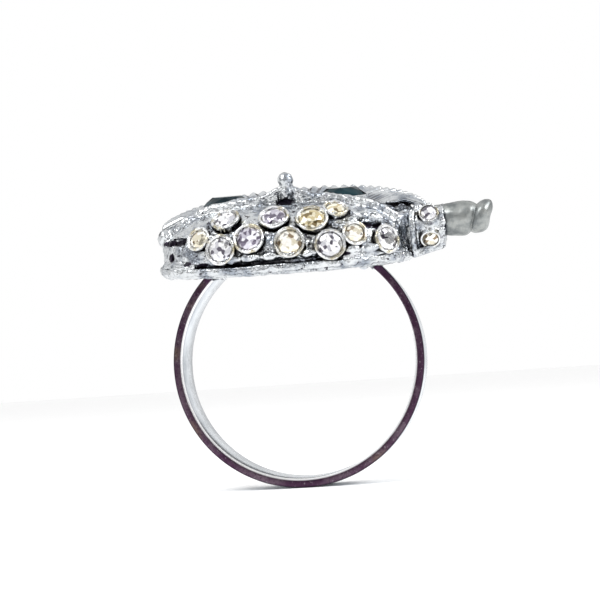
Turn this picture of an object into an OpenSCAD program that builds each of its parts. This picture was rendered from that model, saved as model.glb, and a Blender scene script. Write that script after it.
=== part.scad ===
// Cocktail ring: a domed, jewelled half-mask with a fluted crest and a side handle,
// soldered on a flat strip shank. Millimetres.
// Frame: origin at the centre of the finger hole, +Y along the finger, +Z up through the head,
// +X towards the handle. The jewelled cheek of the mask looks along -Y.

/* [Shank] */
// Inside diameter of the round part of the shank
finger_d = 18; // [15:0.5:22]
// Thickness of the shank strip
shank_t = 0.7; // [0.5:0.05:1.2]
// Width of the shank along the finger
shank_w = 4; // [2.5:0.25:6]
// Distance between the shank's two feet where they meet the back plate
foot_gap = 10.4; // [9:0.2:13]
// Radius of the solder fillets beside the feet
solder_r = 0.5; // [0.3:0.05:0.8]

/* [Mask] */
// Length of the mask across the finger
mask_l = 19.4; // [16:0.2:24]
// Width of the mask along the finger
mask_w = 14.4; // [12:0.2:18]
// Height of the dome above the back plate
dome_h = 4.6; // [4:0.1:6]
// Height of the flat face behind the brow, above the back plate
face_h = 3.3; // [2.8:0.1:4]
// Place of the mask's centre along X, from the middle of the shank
mask_x = -0.4; // [-2:0.1:1]
// How far the mask leans towards its jewelled cheek, in degrees
lean = 8; // [0:1:12]
// Wall of the hollow casting
wall = 0.9; // [0.7:0.05:1.2]
// Thickness of the back plate
plate_t = 0.8; // [0.6:0.05:1.2]
// How far the back plate stands out past the dome
plate_lip = 0.3; // [0.1:0.05:0.6]
// Radius of the raised brow ridges
brow_r = 0.42; // [0.3:0.02:0.6]
// Height of the nose above the dome
nose_h = 2; // [1.4:0.1:2.6]
// Place of the nose from the mask's centre, along X
nose_x = 0.6; // [-0.8:0.1:0.8]
// Radius of the ball on the tip of the nose
nose_r = 0.6; // [0.4:0.02:0.8]

/* [Stones] */
// Clear round stones of the cheek and temple
stone_d = 1.8; // [1.4:0.1:2]
// Yellow stone of the cheek
accent_d = 1.9; // [1.5:0.1:2.1]
// Small stones that fill the gaps of the cheek
filler_d = 1.4; // [1.1:0.1:1.6]
// Round stones on the ferrule
ferrule_stone_d = 1.2; // [1:0.1:1.5]
// Dark eye stones
eye_d = 3.8; // [3:0.1:4.6]
// Place of each eye's outer edge from the mask's centre, along X
eye_x = 6.4; // [5.5:0.1:6.5]
// Wall of a pressed stone cup
cup_wall = 0.12; // [0.1:0.01:0.2]
// Gap round a stone in its cup, and round a cup in its seat
stone_gap = 0.03; // [0.02:0.01:0.06]

/* [Crest] */
// How far the crest's edge stands out past the dome
crest_out = 0.7; // [0:0.1:1.5]
// Width of the crest, from its inner to its outer edge
crest_w = 3.2; // [2.4:0.1:3.6]
// Thickness of the crest's sheet
crest_t = 0.4; // [0.35:0.05:0.8]
// Rise of the crest's edge above the mask's face at its two ends
crest_end_h = 0.1; // [0:0.1:2]
// Rise of the crest's edge above the mask's face at its peak
crest_peak_h = 1.3; // [1:0.1:4]
// How far the crest's outer edge droops at its two ends
crest_droop = 0.9; // [0:0.1:1.2]
// Number of flutes across the crest
flutes = 36; // [16:1:44]

/* [Handle] */
// Radius of the handle's grip
grip_r = 1.35; // [0.9:0.05:1.65]
// Length of the handle past the ferrule
grip_l = 3.6; // [2.8:0.1:8]
// Wall of the ferrule round the handle
ferrule_wall = 0.55; // [0.5:0.05:0.9]
// How far the ferrule's middle lies below the handle's axis
ferrule_drop = 0.3; // [0:0.05:0.35]
// Length of the ferrule
ferrule_l = 2.3; // [2:0.1:3.2]
// Place of the handle's axis along Y
handle_y = -0.8; // [-2.5:0.1:2]
// Height of the handle's underside above the back plate
handle_h = 0.65; // [0.55:0.05:1.45]
// Radial gap between the handle's tenon and the ferrule
tenon_gap = 0.03; // [0.02:0.01:0.08]

/* [Hidden] */
// Roundness of the dome: 2 is an ellipsoid, more is squarer
squareness = 2.5;
finger_r = finger_d / 2;
shank_r = finger_r + shank_t;
plate_z = sqrt(pow(finger_r, 2) - pow(foot_gap / 2, 2));
half_l = mask_l / 2;
half_w = mask_w / 2;
nose_y = -2.9;
nose_seat_h = face_h - 0.5;
tenon_r = grip_r - 0.2;
ferrule_r = tenon_r + tenon_gap + ferrule_wall;
axis_h = handle_h + grip_r;
ferrule_x = mask_x + half_l + plate_lip + 0.05;
bead_r = 0.15;
slot = [2, 1.6, 0.45];
eps = 0.01;
dome_steps = 44;
dome_rings = 8;

// Spacing of the cheek's seats: one stone, its cup and the metal up to the next cup
pitch = max(stone_d, accent_d - 0.1, filler_d + 0.2) + 2 * (stone_gap + cup_wall) + 0.25;
// Mask length at which the seats stand one pitch apart along it
close_l = 19.4;
// On a longer mask they spread out with its length; on a shorter one each keeps its own room
spread = pitch * max(1, mask_l / close_l);
// Each cheek stone: [place along X from the mask's centre, height above the back plate, diameter]
cheek_seats = [
    [-2.46 * spread, 0.88 * pitch, filler_d],
    [-1.73 * spread, 0.54 * pitch, stone_d],
    [-1.6 * spread, 1.39 * pitch, stone_d - 0.1],
    [-0.81 * spread, 0.81 * pitch, stone_d],
    [-0.03 * spread, 1.37 * pitch, stone_d],
    [0.46 * spread, 0.62 * pitch, stone_d],
    [1.17 * spread, 1.24 * pitch, accent_d],
    [1.88 * spread, 1.46 * pitch, filler_d],
    [1.71 * spread, 0.46 * pitch, stone_d],
    [2.46 * spread, 0.72 * pitch, filler_d],
    [3.38 * spread, 0.45 * pitch, stone_d - 0.1],
];
// Each slot of the temples: [place along X from the mask's centre, height above the back plate]
temple_slots = [[-8, 2], [6.9, 2.75]];
// Each ferrule stone: its turn round the handle's axis, from straight down, towards -Y
ferrule_seats = [58, 121];

// ---- shapes of the dome ----

function signed_pow(v, p) = sign(v) * pow(abs(v), p);
function room(v) = max(v, 0);
// Height of the dome over a point, from the mask's centre
function dome_rise(x, y) =
    dome_h * pow(room(1 - pow(abs(x) / half_l, squareness) - pow(abs(y) / half_w, squareness)), 1 / squareness);
// Place of the near wall of the dome, along Y, at a height above the plate
function wall_y(x, h) =
    -half_w * pow(room(1 - pow(abs(x) / half_l, squareness) - pow(h / dome_h, squareness)), 1 / squareness);
// Direction that the dome faces at a point on it
function facing(p) = [
    signed_pow(p.x, squareness - 1) / pow(half_l, squareness),
    signed_pow(p.y, squareness - 1) / pow(half_w, squareness),
    signed_pow(p.z, squareness - 1) / pow(dome_h, squareness)
];
function seat_point(s) = [s[0], wall_y(s[0], s[1]), s[1]];

// Places its children in the head's frame: z = 0 is the underside of the back plate
module head() {
    translate([0, 0, plate_z]) rotate([lean, 0, 0]) children();
}

// Places its children on top of the back plate, at the mask's centre
module on_plate() {
    head() translate([mask_x, 0, plate_t]) children();
}

// Places its children on the dome: their +Z looks out along the dome's own normal
module on_dome(p) {
    n = facing(p);
    on_plate()
        translate(p)
            rotate([0, 0, atan2(n.y, n.x)])
                rotate([0, atan2(norm([n.x, n.y]), n.z), 0])
                    children();
}

// A squared-off half ellipsoid, standing on z = 0
module dome_solid(a, b, h) {
    e = 2 / squareness;
    turns = [for (i = [0:dome_steps - 1]) i * 360 / dome_steps];
    climbs = [for (j = [0:dome_rings - 1]) 90 * (1 - pow(1 - j / dome_rings, 1.25))];
    rings = [for (t = climbs) for (u = turns) [
        a * pow(cos(t), e) * signed_pow(cos(u), e),
        b * pow(cos(t), e) * signed_pow(sin(u), e),
        h * pow(sin(t), e)
    ]];
    top = len(rings);
    last = dome_steps * (dome_rings - 1);
    polyhedron(
        points = concat(rings, [[0, 0, h]]),
        faces = concat(
            [[for (i = [0:dome_steps - 1]) i]],
            [for (j = [0:dome_rings - 2]) for (i = [0:dome_steps - 1])
                let (k = (i + 1) % dome_steps, low = j * dome_steps, up = low + dome_steps)
                [low + k, low + i, up + i]],
            [for (j = [0:dome_rings - 2]) for (i = [0:dome_steps - 1])
                let (k = (i + 1) % dome_steps, low = j * dome_steps, up = low + dome_steps)
                [low + k, up + i, up + k]],
            [for (i = [0:dome_steps - 1]) [last + (i + 1) % dome_steps, last + i, top]]
        )
    );
}

// Outline of the dome's foot, grown outwards by a distance
module plate_outline(grow) {
    e = 2 / squareness;
    polygon([for (i = [0:71]) [
        mask_x + (half_l + grow) * signed_pow(cos(i * 5), e),
        (half_w + grow) * signed_pow(sin(i * 5), e)
    ]]);
}

// ---- shank ----

// All of the space on the head's side of the back plate's underside
module above_plate() {
    head() translate([-shank_r - 5, -shank_w, 0]) cube([2 * shank_r + 10, 2 * shank_w, shank_r]);
}

module shank() {
    color("rosybrown")
        difference() {
            rotate([90, 0, 0]) cylinder(h = shank_w, r = shank_r, center = true, $fn = 96);
            rotate([90, 0, 0]) cylinder(h = shank_w + 1, r = finger_r, center = true, $fn = 96);
            above_plate();
        }
}

// Half of the width of a cylinder round the finger hole where the plate crosses it, at a place along Y
function reach(r, y) = sqrt(pow(r, 2) - pow(plate_z + y * tan(lean), 2));

// One fillet of solder, in the corner between a foot of the shank and the plate
module foot_fillet(side, r) {
    half = shank_w / 2 - 0.25;
    near = side * reach(r, -half);
    far = side * reach(r, half);
    head()
        translate([near, -half, 0])
            rotate([0, 0, atan2(near - far, 2 * half)])
                rotate([-90, 0, 0]) cylinder(h = norm([near - far, 2 * half]), r = solder_r, $fn = 32);
}

module shank_solder() {
    color("gainsboro")
        difference() {
            for (side = [-1, 1]) for (r = [finger_r, shank_r]) foot_fillet(side, r);
            difference() {
                rotate([90, 0, 0]) cylinder(h = shank_w + 1, r = shank_r, center = true, $fn = 96);
                rotate([90, 0, 0]) cylinder(h = shank_w + 2, r = finger_r, center = true, $fn = 96);
            }
            above_plate();
        }
}

// ---- plate and casting ----

module back_plate() {
    edge = 0.25;
    color("silver")
        head() {
            linear_extrude(height = edge) plate_outline(plate_lip - edge);
            translate([0, 0, edge]) linear_extrude(height = plate_t - edge) plate_outline(plate_lip);
        }
}

// A round bar along a path of points that climbs or falls along X, with flat ends
module bar(path, r, sides = 10) {
    last = len(path) - 1;
    ahead = [for (i = [0:last]) let (v = path[min(i + 1, last)] - path[max(i - 1, 0)]) v / norm(v)];
    points = [for (i = [0:last]) let (
        across = cross(ahead[i], [0, 0, 1]) / norm(cross(ahead[i], [0, 0, 1])),
        up = cross(across, ahead[i])
    ) for (k = [0:sides - 1]) path[i] + r * (cos(360 * k / sides) * across + sin(360 * k / sides) * up)];
    polyhedron(points = points, faces = concat(
        [[for (k = [0:sides - 1]) sides - 1 - k]],
        [[for (k = [0:sides - 1]) last * sides + k]],
        [for (i = [0:last - 1]) for (k = [0:sides - 1]) let (a = i * sides + k, b = i * sides + (k + 1) % sides)
            [a, b, a + sides]],
        [for (i = [0:last - 1]) for (k = [0:sides - 1]) let (a = i * sides + k, b = i * sides + (k + 1) % sides)
            [b, b + sides, a + sides]]
    ));
}

// Where the knob on each tip of the mask sits, from the mask's centre
function knob(side) = [side * (half_l - 0.5), -1.6, 2.2];

// The raised ridge from the knob on one tip of the mask, over the nose, to the knob on the other
module brow() {
    steps = 10;
    bar([for (i = [-steps:steps]) let (
        s = abs(i) / steps,
        end = knob(sign(i)),
        x = nose_x + (end.x - nose_x) * s,
        y = nose_y - 0.2 + (end.y - nose_y + 0.2) * pow(s, 2)
    ) s == 1 ? end : [x, y, dome_rise(x, y) + 0.3 * (1 - pow(s, 2)) - 0.05]], brow_r);
}

function cup_r(d) = d / 2 + stone_gap + cup_wall;
// A stone's back reaches this far below its girdle, as a share of its diameter
back_share = 0.24;
// How far a stone's girdle stands above what it is set in
cheek_proud = 0.2;
eye_proud = 1;
ferrule_proud = 0.12;
// How far a cup's rim stands above the girdle
rim = 0.1;

// A round seat for a cup or a bezel, cut along the dome's normal
module seat_hole(r, depth) {
    sides = 20;
    translate([0, 0, -depth]) cylinder(h = depth + 2, r = (r + stone_gap) / cos(180 / sides), $fn = sides);
}

module mask_casting() {
    color("gainsboro")
        difference() {
            union() {
                on_plate() {
                    difference() {
                        dome_solid(half_l, half_w, dome_h);
                        translate([-half_l, nose_y + 0.5, face_h]) cube([mask_l, mask_w, dome_h]);
                    }
                    brow();
                    for (side = [-1, 1]) translate(knob(side)) sphere(r = 0.75, $fn = 16);
                }
            }
            on_plate() {
                translate([0, 0, -eps]) dome_solid(half_l - wall, half_w - wall, face_h - wall);
                for (t = temple_slots)
                    translate([t[0], wall_y(t[0], t[1]), t[1]])
                        rotate([0, 0, sign(t[0]) * 42]) cube(slot, center = true);
                translate([nose_x, nose_y, nose_seat_h]) cylinder(h = 4, r = 0.75, $fn = 20);
                for (side = [-1, 1])
                    translate([side * eye_mid, 0, face_h]) seat_hole(eye_r, 0.45);
            }
            for (s = cheek_seats)
                on_dome(seat_point(s)) seat_hole(cup_r(s[2]), cup_depth(s[2]) - cheek_proud);
        }
}

// Nose: a post that plugs into the casting, with a ball on its tip and two nostrils under it
module nose() {
    stem_h = dome_h - nose_seat_h + 0.5;
    tip_h = dome_h - nose_seat_h + nose_h - nose_r;
    color("gainsboro")
        on_plate()
            translate([nose_x, nose_y, nose_seat_h])
                difference() {
                    union() {
                        cylinder(h = stem_h, r = 0.7, $fn = 24);
                        translate([0, 0, stem_h]) cylinder(h = tip_h - stem_h, r1 = 0.7, r2 = 0.45, $fn = 24);
                        translate([0, 0, tip_h]) sphere(r = nose_r, $fn = 24);
                    }
                    for (side = [-1, 1])
                        translate([side * 0.3, -0.75, dome_h - nose_seat_h + 0.2])
                            rotate([-90, 0, 0]) cylinder(h = 0.45, r = 0.18, $fn = 16);
                }
}

// ---- crest ----

// A point of the crest's plan at turn u and share s of its width
function crest_xy(u, s) = [
    nose_x + (half_l + crest_out - crest_w * (1 - s)) * cos(u),
    (half_w + crest_out - crest_w * (1 - s)) * sin(u)
];
function crest_edge(u) = crest_end_h + (crest_peak_h - crest_end_h) * pow(room(sin(u)), 0.8);
function crest_top(u, s) = 0.3 + (crest_edge(u) + crest_t - 0.3) * pow(s, 0.8);
function crest_sag(u, s) = crest_droop * pow(abs(cos(u)), 3) * room(s - 0.45) / 0.55;
function flute(i) = 0.2 * abs(sin(i * 90));

// A sheet pressed into flutes; its inner edge lies on the mask's face
module crest() {
    lanes = 2 * flutes;
    start_u = 11;
    sweep_u = 172;
    shares = [0, 0.25, 0.45, 0.7, 1];
    n = len(shares);
    tops = [for (i = [0:lanes]) for (s = shares) let (
        u = start_u + sweep_u * i / lanes,
        p = crest_xy(u, s)
    ) [p.x, p.y, crest_top(u, s) + flute(i) * (0.3 + 0.7 * s) - crest_sag(u, s)]];
    unders = [for (i = [0:lanes]) for (s = shares) let (
        u = start_u + sweep_u * i / lanes,
        p = crest_xy(u, s)
    ) [p.x, p.y, room(crest_top(u, s) - crest_t) - crest_sag(u, s)]];
    m = len(tops);
    color("silver")
        on_plate() translate([0, 0, face_h])
            polyhedron(points = concat(tops, unders), faces = concat(
                [for (i = [0:lanes - 1]) for (k = [0:n - 2]) let (a = i * n + k) [a, a + n, a + 1]],
                [for (i = [0:lanes - 1]) for (k = [0:n - 2]) let (a = i * n + k) [a + 1, a + n, a + n + 1]],
                [for (i = [0:lanes - 1]) for (k = [0:n - 2]) let (a = m + i * n + k) [a, a + 1, a + n]],
                [for (i = [0:lanes - 1]) for (k = [0:n - 2]) let (a = m + i * n + k) [a + 1, a + n + 1, a + n]],
                [for (i = [0:lanes - 1]) let (a = i * n) [a, m + a, a + n]],
                [for (i = [0:lanes - 1]) let (a = i * n) [a + n, m + a, m + a + n]],
                [for (i = [0:lanes - 1]) let (a = i * n + n - 1) [a, a + n, m + a]],
                [for (i = [0:lanes - 1]) let (a = i * n + n - 1) [a + n, m + a + n, m + a]],
                [for (k = [0:n - 2]) [k, k + 1, m + k]],
                [for (k = [0:n - 2]) [k + 1, m + k + 1, m + k]],
                [for (k = [0:n - 2]) let (a = lanes * n + k) [a, m + a, a + 1]],
                [for (k = [0:n - 2]) let (a = lanes * n + k) [a + 1, m + a, m + a + 1]]
            ));
}

// ---- stones and their settings ----

// A cut stone: flat table, eight-sided crown, round girdle and pointed back, girdle at z = 0
module cut_stone(d, crown = 0.17, back = back_share) {
    r = d / 2;
    hull() {
        translate([0, 0, crown * d - eps]) cylinder(h = eps, r = 0.6 * r, $fn = 8);
        translate([0, 0, 0.55 * crown * d]) rotate([0, 0, 22.5]) cylinder(h = eps, r = 0.86 * r, $fn = 8);
        cylinder(h = 0.04 * d, r = r, $fn = 16);
        translate([0, 0, -back * d]) cylinder(h = eps, r = 0.08 * r, $fn = 8);
    }
}

// How far a cup reaches below the girdle of its stone: the stone's back rests on the cup's floor
function cup_depth(d, back = back_share) = back * d + cup_wall;

// A pressed cup that holds a stone, with its rim just above the stone's girdle
module stone_cup(d, back = back_share) {
    depth = cup_depth(d, back);
    r = cup_r(d);
    difference() {
        translate([0, 0, -depth]) cylinder(h = depth + rim, r = r, $fn = 48);
        translate([0, 0, -depth + cup_wall]) cylinder(h = depth + rim, r = r - cup_wall, $fn = 48);
    }
}

module cheek_cups() {
    color("lightgray")
        for (s = cheek_seats)
            on_dome(seat_point(s)) translate([0, 0, cheek_proud]) stone_cup(s[2]);
}

module cheek_stone(i) {
    s = cheek_seats[i - 1];
    color(s[2] == accent_d ? "khaki" : "white")
        on_dome(seat_point(s)) translate([0, 0, cheek_proud]) cut_stone(s[2]);
}

eye_r = cup_r(eye_d);
eye_mid = eye_x - eye_d / 2;
eye_back = 0.16;

// Places its children on an eye's seat in the mask's face, with the stone's girdle at z = 0
module on_eye(side) {
    on_plate() translate([side * eye_mid, 0, face_h + eye_proud]) children();
}

module eye_bezel(side) {
    floor_z = -eye_proud - 0.45;
    color("silver")
        on_eye(side)
            difference() {
                translate([0, 0, floor_z]) cylinder(h = rim - floor_z, r = eye_r, $fn = 64);
                translate([0, 0, -eye_back * eye_d]) cylinder(h = 3, r = eye_r - cup_wall, $fn = 64);
            }
}

module eye_stone(side) {
    color("darkslategray") on_eye(side) cut_stone(eye_d, 0.2, eye_back);
}

// ---- ferrule and handle ----

module along_handle() {
    head() translate([ferrule_x, handle_y, plate_t + axis_h]) rotate([0, 90, 0]) children();
}

// Places its children on the ferrule's side: their +Z looks out from the ferrule's middle
module ferrule_seat(turn) {
    head()
        translate([ferrule_x + ferrule_l / 2, handle_y, plate_t + axis_h - ferrule_drop])
            rotate([-turn, 0, 0])
                translate([0, 0, -ferrule_r]) mirror([0, 0, 1]) children();
}

ferrule_back = 0.15;
ferrule_floor = 0.45;
saddle_h = plate_t + axis_h - ferrule_drop - ferrule_r + 0.04;

// A socket that holds the handle, with a bead round each end
module ferrule() {
    color("silver")
        difference() {
            translate([0, ferrule_drop * sin(lean), -ferrule_drop * cos(lean)]) along_handle()
                rotate_extrude($fn = 64) {
                    square([ferrule_r, ferrule_l]);
                    for (end = [bead_r, ferrule_l - bead_r]) translate([ferrule_r, end]) circle(r = bead_r, $fn = 20);
                }
            along_handle()
                translate([0, 0, ferrule_floor]) cylinder(h = ferrule_l, r = tenon_r + tenon_gap, $fn = 64);
            for (turn = ferrule_seats) ferrule_seat(turn)
                translate([0, 0, ferrule_proud - cup_depth(ferrule_stone_d, ferrule_back)])
                    cylinder(h = 2, r = cup_r(ferrule_stone_d) + stone_gap, $fn = 48);
            head()
                translate([ferrule_x - 1, handle_y - 4, -1]) cube([ferrule_l + 2, 8, saddle_h + 1]);
        }
}

// The foot under the ferrule, from the plate's edge out to the ferrule's end
module ferrule_saddle() {
    start_x = mask_x + half_l + 0.1 * plate_lip;
    end_x = ferrule_x + ferrule_l - 0.1;
    color("silver")
        head()
            difference() {
                translate([0, handle_y, 0])
                    hull() {
                        translate([start_x, -1.7, 0.15]) cube([0.1, 3.4, saddle_h - 0.15]);
                        translate([end_x - 0.1, -1.3, saddle_h - 0.7]) cube([0.1, 2.6, 0.7]);
                    }
                linear_extrude(height = plate_t) plate_outline(plate_lip);
            }
}

module ferrule_cups() {
    color("lightgray")
        for (turn = ferrule_seats)
            ferrule_seat(turn) translate([0, 0, ferrule_proud]) stone_cup(ferrule_stone_d, ferrule_back);
}

module ferrule_stone(i) {
    color("white")
        ferrule_seat(ferrule_seats[i - 1])
            translate([0, 0, ferrule_proud]) cut_stone(ferrule_stone_d, 0.2, ferrule_back);
}

// The handle: a tenon, a grip that swells slightly, a neck and a rounded finial
module handle() {
    tenon_l = ferrule_l - ferrule_floor;
    neck = grip_l - 1.3;
    color("darkgray")
        along_handle()
            translate([0, 0, ferrule_l])
                rotate_extrude($fn = 64)
                    intersection() {
                        union() {
                            translate([0, -tenon_l]) square([tenon_r, tenon_l + 0.1]);
                            square([grip_r - 0.08, neck]);
                            translate([grip_r - 1.5, neck * 0.55]) circle(r = 1.5, $fn = 48);
                            translate([0, neck - 0.1]) square([grip_r - 0.45, 0.9]);
                            translate([grip_r - 0.7, grip_l - 0.65]) circle(r = 0.65, $fn = 32);
                            translate([0, grip_l - 1.3]) square([grip_r - 0.7, 1.3]);
                        }
                        translate([0, -tenon_l]) square([grip_r + 1, tenon_l + grip_l]);
                    }
}

// ---- nodes ----

shank();
shank_solder();
back_plate();
mask_casting();
nose();
crest();
cheek_cups();
eye_bezel(-1);  // eye_bezel_left
eye_bezel(1);  // eye_bezel_right
eye_stone(-1);  // eye_stone_left
eye_stone(1);  // eye_stone_right
ferrule();
ferrule_saddle();
ferrule_cups();
handle();
for (i = [1:len(cheek_seats)])
    cheek_stone(i);
for (i = [1:len(ferrule_seats)])
    ferrule_stone(i);
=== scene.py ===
"""Cocktail ring: a jewelled half-mask in plated cast metal, with a fluted crest and a side handle.

Everything is in metres in the row's frame: +Y along the finger, +Z up through the head and +X towards
the handle.
"""
import sys
import logging
import math
from dataclasses import dataclass, field
from enum import Enum
from typing import Any, Iterable, Sequence

import bpy
from mathutils import Matrix, Vector


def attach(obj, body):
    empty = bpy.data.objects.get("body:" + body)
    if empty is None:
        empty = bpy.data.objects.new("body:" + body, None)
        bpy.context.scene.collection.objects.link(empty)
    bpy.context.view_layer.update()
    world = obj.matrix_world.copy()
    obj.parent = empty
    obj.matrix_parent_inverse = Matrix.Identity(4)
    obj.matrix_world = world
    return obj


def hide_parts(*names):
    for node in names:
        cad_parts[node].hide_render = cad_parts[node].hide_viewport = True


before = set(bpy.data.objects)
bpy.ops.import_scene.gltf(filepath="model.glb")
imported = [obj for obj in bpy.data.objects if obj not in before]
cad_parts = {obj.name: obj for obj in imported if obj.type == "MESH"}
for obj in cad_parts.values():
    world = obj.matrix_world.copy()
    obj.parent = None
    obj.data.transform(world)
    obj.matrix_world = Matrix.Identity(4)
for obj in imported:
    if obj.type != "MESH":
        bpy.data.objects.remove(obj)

log = logging.getLogger("ring")
MM = 0.001
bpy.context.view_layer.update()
Pair = tuple[float, float]
Triple = tuple[float, float, float]
Four = tuple[float, float, float, float]
Colour = Triple
Piece = bpy.types.Object
Material = bpy.types.Material
Link = Any


# ---- shader maths ----


class Graph:
    """The node tree of one material, with a method that makes any node in it."""

    def __init__(self, name: str) -> None:
        """Start an empty tree.

        Args:
            name: The material's name.
        """
        self.material = bpy.data.materials.new(name)
        self.material.use_nodes = True
        self.tree = self.material.node_tree
        self.tree.nodes.clear()

    def node(self, kind: str, settings: dict[str, Any] | None = None,
             inputs: dict[Any, Link] | None = None) -> Any:
        """Make a node, set it up and feed its sockets.

        Args:
            kind: The shader node's type name, without its ShaderNode.
            settings: Its own settings.
            inputs: Socket names or numbers, each with a value, a socket or a Wire.

        Returns:
            The new node.
        """
        made = self.tree.nodes.new("ShaderNode" + kind)
        for key, value in (settings or {}).items():
            setattr(made, key, value)
        for key, value in (inputs or {}).items():
            self.feed(made.inputs[key], value)
        return made

    def feed(self, socket: Any, value: Link) -> None:
        """Link or set one input socket.

        Args:
            socket: The input socket.
            value: A Wire, an output socket, a number or a tuple.
        """
        if isinstance(value, Wire):
            value = value.socket
        if isinstance(value, bpy.types.NodeSocket):
            self.tree.links.new(value, socket)
        elif isinstance(value, tuple) and socket.type == "RGBA" and len(value) == 3:
            socket.default_value = (*value, 1.0)
        else:
            socket.default_value = value

    def wire(self, node: Any, output: Any = 0) -> "Wire":
        """Wrap one output of a node."""
        return Wire(self, node.outputs[output])

    def place(self) -> Any:
        """The Object coordinates' socket."""
        return self.node("TexCoord").outputs["Object"]

    def noise(self, size: float, detail: float = 3.0, rough: float = 0.55, where: Any = None) -> "Wire":
        """Soft noise from 0 to 1.

        Args:
            size: The size of its lumps, in metres.
            detail: How many octaves it has.
            rough: How strong the fine octaves are.
            where: The coordinates; the Object coordinates when left out.

        Returns:
            The noise's value.
        """
        made = self.node("TexNoise", {"noise_dimensions": "3D"},
                         {"Vector": where or self.place(), "Scale": 1.0 / size, "Detail": detail,
                          "Roughness": rough})
        return self.wire(made, 0)

    def ramp(self, value: "Wire", low: float, high: float) -> "Wire":
        """Stretch a value so that low gives 0 and high gives 1, with soft ends."""
        made = self.node("MapRange", {"interpolation_type": "SMOOTHSTEP"},
                         {"Value": value, "From Min": low, "From Max": high})
        return self.wire(made, 0)

    def blend(self, share: Link, first: Link, second: Link) -> Any:
        """Mix two colours.

        Args:
            share: How much of the second shows, from 0 to 1.
            first: A colour or link.
            second: A colour or link.

        Returns:
            The mixed colour's socket.
        """
        made = self.node("Mix", {"data_type": "RGBA"}, {0: share, 6: first, 7: second})
        return made.outputs[2]

    def shadow(self, reach: float) -> "Wire":
        """How open a point is to its surroundings, from 0 in a crevice to 1 on an open face."""
        return self.wire(self.node("AmbientOcclusion", {"samples": 8}, {"Distance": reach}), "AO")

    def bump(self, height: "Wire", depth: float, strength: float = 1.0, under: Any = None) -> Any:
        """A Bump node's normal.

        Args:
            height: The height, from 0 to 1.
            depth: What a height of 1 stands for, in metres.
            strength: How much of it shows.
            under: A normal to add it to.

        Returns:
            The normal's socket.
        """
        inputs: dict[Any, Link] = {"Height": height, "Distance": depth, "Strength": strength}
        if under is not None:
            inputs["Normal"] = under
        return self.node("Bump", None, inputs).outputs[0]

    def finish(self, shader: dict[Any, Link]) -> Material:
        """Add the main shader and the output.

        Args:
            shader: The Principled shader's sockets.

        Returns:
            The finished material.
        """
        main_shader = self.node("BsdfPrincipled", None, shader)
        self.node("OutputMaterial", None, {"Surface": main_shader.outputs[0]})
        return self.material


@dataclass(frozen=True)
class Wire:
    """A number running through a tree, which takes part in arithmetic."""

    graph: Graph
    socket: Any

    def _math(self, operation: str, first: Link, second: Link = 0.0, clamp: bool = False) -> "Wire":
        """Add one Math node."""
        settings = {"operation": operation, "use_clamp": clamp}
        return self.graph.wire(self.graph.node("Math", settings, {0: first, 1: second}))

    def __add__(self, other: Link) -> "Wire":
        """This plus other."""
        return self._math("ADD", self, other)

    def __sub__(self, other: Link) -> "Wire":
        """This minus other."""
        return self._math("SUBTRACT", self, other)

    def __rsub__(self, other: Link) -> "Wire":
        """Other minus this."""
        return self._math("SUBTRACT", other, self)

    def __mul__(self, other: Link) -> "Wire":
        """This times other."""
        return self._math("MULTIPLY", self, other)

    def __abs__(self) -> "Wire":
        """This without its sign."""
        return self._math("ABSOLUTE", self)

    def sine(self) -> "Wire":
        """The sine of this, taken as an angle."""
        return self._math("SINE", self)

    def angle_over(self, other: "Wire") -> "Wire":
        """The angle of a slope that rises by this over a run of other."""
        return self._math("ARCTAN2", self, other)

    def clamped(self) -> "Wire":
        """This, kept between 0 and 1."""
        return self._math("ADD", self, 0.0, clamp=True)


# ---- finishes ----


@dataclass(frozen=True)
class Finish:
    """A finish; each kind of surface says what feeds its shader."""

    name: str

    def sockets(self, g: Graph) -> dict[Any, Link]:
        """The main shader's sockets and what feeds them."""
        raise NotImplementedError

    def make(self) -> Material:
        """Build the material."""
        g = Graph(self.name)
        return g.finish(self.sockets(g))


@dataclass(frozen=True)
class FanRibs:
    """Where the crest's ribs stand, for the painted shade between them: turns in degrees round an ellipse
    seen from above, in millimetres.
    """

    count: int
    start: float
    sweep: float
    middle_x: float
    half_l: float = 9.2
    half_w: float = 6.7
    shift_y: float = 0.8


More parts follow.
